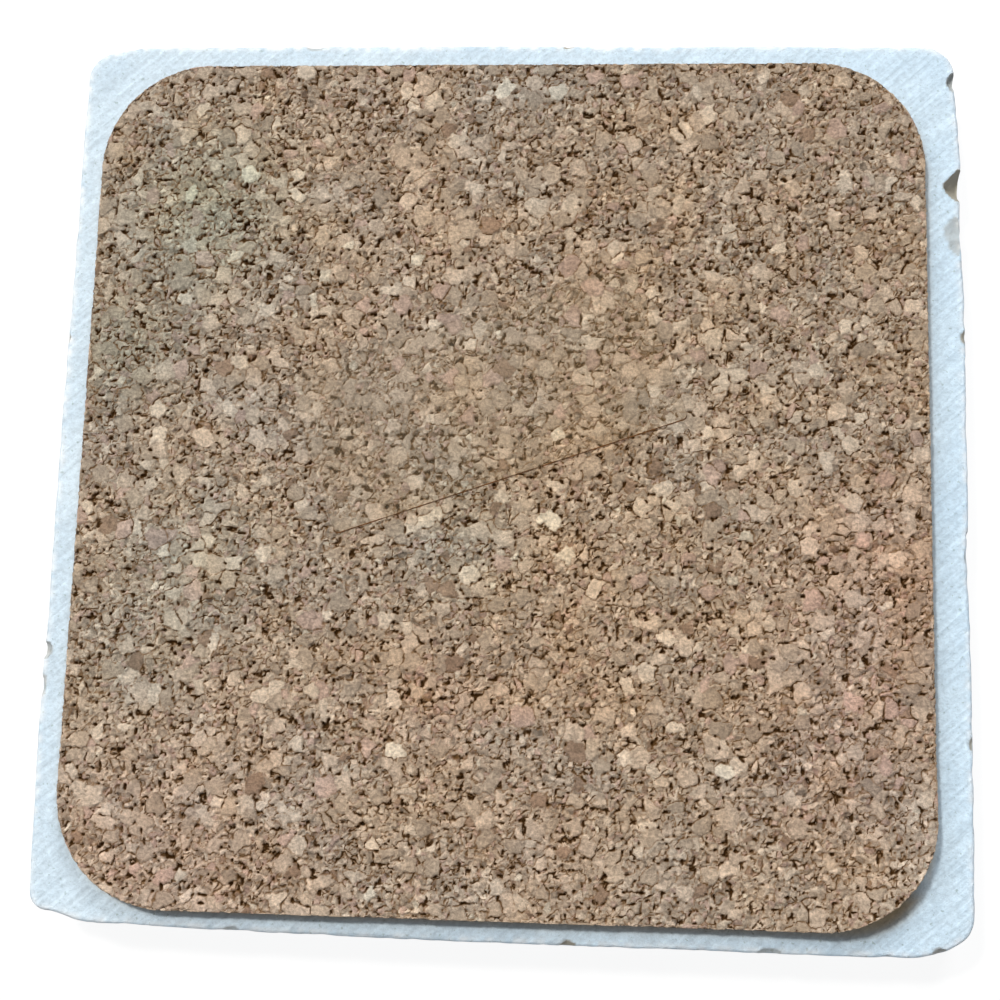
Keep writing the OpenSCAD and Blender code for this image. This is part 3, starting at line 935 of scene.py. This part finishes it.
def make_cork_body(material):
    """The pad below its sanded face: the die-cut edge, granules cut through, and what it hides.

    Rings run out under the pad, climb the edge and step in under the face; the relief pushes the
    edge inwards. All rings rise with the corner that has come unstuck, the innermost least.
    """
    half_w, half_d, middle = pad_sizes()
    thick = cork_high[2] - cork_low[2]
    at, out, length = rounded_outline(half_w, half_d, (CORK_CORNER,) * 4, EDGE_POINTS)
    levels = np.linspace(0, thick - EDGE_DROP, EDGE_LEVELS)
    along = np.arange(EDGE_POINTS) / EDGE_POINTS * length
    unrolled = np.stack(np.meshgrid(levels, along, indexing="ij")[::-1], -1)
    relief, colour, crevice = cork_surface(unrolled, 60)
    sides = at + out * relief[..., None]
    body = np.concatenate([sides, np.broadcast_to(levels[:, None, None], (*relief.shape, 1))], -1)
    steps = [(inset, 0) for inset in UNDER_RINGS] + [(inset, thick - depth) for inset, depth in TOP_RINGS]
    plain = [np.column_stack([at - out * inset, np.full(EDGE_POINTS, height)]) for inset, height in steps]
    below, inner = plain[:len(UNDER_RINGS)], plain[len(UNDER_RINGS):]
    points = np.concatenate([below, body, inner])
    rings = len(points)
    colour = np.concatenate([*[colour[:1]] * len(below), colour, *[colour[-1:]] * len(inner)])
    colour = colour.reshape(-1, 3) * EDGE_SHADE
    crevice = np.pad(crevice, ((len(below), len(inner)), (0, 0))).ravel()
    points = turned(points, CORK_TURN) + np.array([*middle, cork_low[2]])
    lift = corner_lift(points[..., :2])
    points[..., 2] += np.concatenate([lift[:-1], core_lift(lift[-1:])])
    ends = [[*middle, cork_low[2]], [*middle, cork_high[2] - FACE_DEPTH]]
    points = np.concatenate([points.reshape(-1, 3), ends])
    piece = make_piece("cork_body", points, capped_rings(rings, EDGE_POINTS), material, "cork",
                       smooth=True, granule=np.concatenate([colour, colour[:2]]),
                       crevice=np.append(crevice, [0, 0]))
    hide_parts("cork_pad")


# Label film

def label_rings(profile, middle):
    """Points of rings round the label, one for each inset from its outline and height of a profile.

    An inset is one value or varies round the label. The normals of the outline come with them.
    """
    at, out, _ = rounded_outline(LABEL_LENGTH / 2, LABEL_WIDTH / 2, (LABEL_CORNER,) * 4, LABEL_POINTS)
    rings = [np.column_stack([at - out * np.reshape(inset, (-1, 1)), np.full(LABEL_POINTS, height)])
             for inset, height in profile]
    points = turned(np.concatenate(rings), LABEL_TURN)
    points[:, :2] += middle
    return points, out


def make_label(material, edge_material):
    """The clear film with softly rounded edges, and the thin dark line along its cut edge.

    The line is widest and densest on the near side.
    """
    middle = (label_low + label_high)[:2] / 2
    low, high = label_low[2], label_high[2]
    round_off = (high - low) / 2
    profile = [(0, low), (0, high - round_off), (round_off * 0.4, high - round_off * 0.3), (round_off, high)]
    points, out = label_rings(profile, middle)
    points = np.concatenate([points, [[*middle, low], [*middle, high]]])
    film = make_piece("label_clear_film", points, capped_rings(len(profile), LABEL_POINTS), material,
                      "clear_film")
    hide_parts("label_film")
    wide = LABEL_LINE * np.clip(0.5 - out[:, 1], 0.25, 1.0)
    foot, top = high - round_off * 0.2, high + LINE_ABOVE
    section = [(wide, foot), (-LINE_BESIDE, foot), (-LINE_BESIDE, top), (wide, top)]
    points, _ = label_rings(section, middle)
    # How dense the dark line is round the label: most on the near side, none on the far side
    dust = np.tile(np.clip(0.1 - out[:, 1], 0, 1), len(section))
    faces = looped_rings(len(section), LABEL_POINTS)
    make_piece("label_film_edge", points, [faces], edge_material, "clear_film", dust=dust)


# Stage

def seen_directly(tree):
    """1 for rays of the camera and of mirrors, else 0."""
    rays = add_node(tree, "ShaderNodeLightPath").outputs
    seen = add_node(tree, "ShaderNodeMath", {"operation": "MAXIMUM"},
                    i0=rays["Is Camera Ray"], i1=rays["Is Glossy Ray"])
    return seen.outputs[0]


def floor_material():
    """Plain white floor: camera and mirror rays see it lit up to white, apart from the shadow.

    Its glow for them is 0.9 near the coaster and 1 far from it; other rays see a glow of 0.35.
    """
    material, tree, place = new_material("white_floor")
    away = add_node(tree, "ShaderNodeVectorMath", {"operation": "LENGTH"}, i0=place).outputs["Value"]
    white = add_node(tree, "ShaderNodeMapRange", i0=away, i1=GLOW_NEAR, i2=GLOW_FAR, i3=0.9, i4=1.0)
    strength = add_node(tree, "ShaderNodeMix", i0=seen_directly(tree), i2=0.35, i3=white.outputs[0])
    glow = add_node(tree, "ShaderNodeEmission", Color=(1, 1, 1, 1), Strength=strength.outputs[0])
    paint = add_node(tree, "ShaderNodeBsdfDiffuse", Color=(0.16, 0.16, 0.16, 1))
    both = add_node(tree, "ShaderNodeAddShader", i0=paint.outputs[0], i1=glow.outputs[0])
    add_node(tree, "ShaderNodeOutputMaterial", Surface=both.outputs[0])
    return material


def make_floor():
    """A flat square sheet under the coaster."""
    mesh = bpy.data.meshes.new("studio_floor")
    corners = [(x * FLOOR_REACH, y * FLOOR_REACH, tile_low[2])
               for x, y in ((-1, -1), (1, -1), (1, 1), (-1, 1))]
    mesh.from_pydata(corners, [], [(0, 1, 2, 3)])
    mesh.materials.append(floor_material())
    floor = bpy.data.objects.new("studio_floor", mesh)
    bpy.context.scene.collection.objects.link(floor)
    floor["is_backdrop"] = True


def make_world():
    """Even grey-white surroundings that light the coaster, and plain white where the camera looks."""
    world = bpy.data.worlds.new("studio_surroundings")
    bpy.context.scene.world = world
    world.use_nodes = True
    tree = world.node_tree
    tree.nodes.clear()
    room = add_node(tree, "ShaderNodeBackground", Color=rgba("#eef4fb"), Strength=0.2)
    white = add_node(tree, "ShaderNodeBackground", Color=(1, 1, 1, 1), Strength=1.0)
    mixed = add_node(tree, "ShaderNodeMixShader", i0=seen_directly(tree),
                     i1=room.outputs[0], i2=white.outputs[0])
    add_node(tree, "ShaderNodeOutputWorld", Surface=mixed.outputs[0])


def make_lamp(name, at_mm, size_mm, watts, colour):
    """A square soft lamp that faces the middle of the coaster."""
    light = bpy.data.lights.new(name, "AREA")
    light.size = size_mm * MM
    light.energy = watts
    light.color = to_linear(colour)
    lamp = bpy.data.objects.new(name, light)
    bpy.context.scene.collection.objects.link(lamp)
    at = Vector(at_mm) * MM
    lamp.location = at
    lamp.rotation_euler = (-at).to_track_quat("-Z", "Y").to_euler()


def make_camera():
    """The camera at the photograph's place: a right-handed frame from its view and up directions."""
    camera = bpy.data.cameras.new("photo_camera")
    camera.lens = LENS_MM
    camera.sensor_width = SENSOR_MM
    camera.clip_start = 5 * MM
    camera.clip_end = 20.0
    holder = bpy.data.objects.new("photo_camera", camera)
    bpy.context.scene.collection.objects.link(holder)
    lift = Vector((0, 0, cork_high[2]))
    at = Vector(CAMERA_AT) * MM + lift
    back = (at - Vector(CAMERA_AIM) * MM - lift).normalized()
    right = Vector(CAMERA_UP).cross(back).normalized()
    upward = back.cross(right)
    holder.matrix_world = Matrix.Translation(at) @ Matrix((right, upward, back)).transposed().to_4x4()
    bpy.context.scene.camera = holder


tile_low, tile_high = (np.array(corner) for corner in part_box("marble_tile"))
tile_half = (tile_high[0] - tile_low[0]) / 2
cork_low, cork_high = (np.array(corner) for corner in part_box("cork_pad"))
label_low, label_high = (np.array(corner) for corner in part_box("label_film"))

make_stone(marble_material())
cork = cork_material()
make_cork_face(cork)
make_cork_body(cork)
make_label(film_material(), film_edge_material())
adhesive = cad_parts["adhesive_film"]
adhesive.data.materials.clear()
adhesive.data.materials.append(adhesive_material())

make_floor()
make_world()
for lamp_name, lamp_values in LAMPS.items():
    make_lamp(lamp_name, *lamp_values)
make_camera()
bpy.context.scene.view_settings.view_transform = "Standard"

sizes = [[list(corner) for corner in box] for box in (cad_box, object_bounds())]
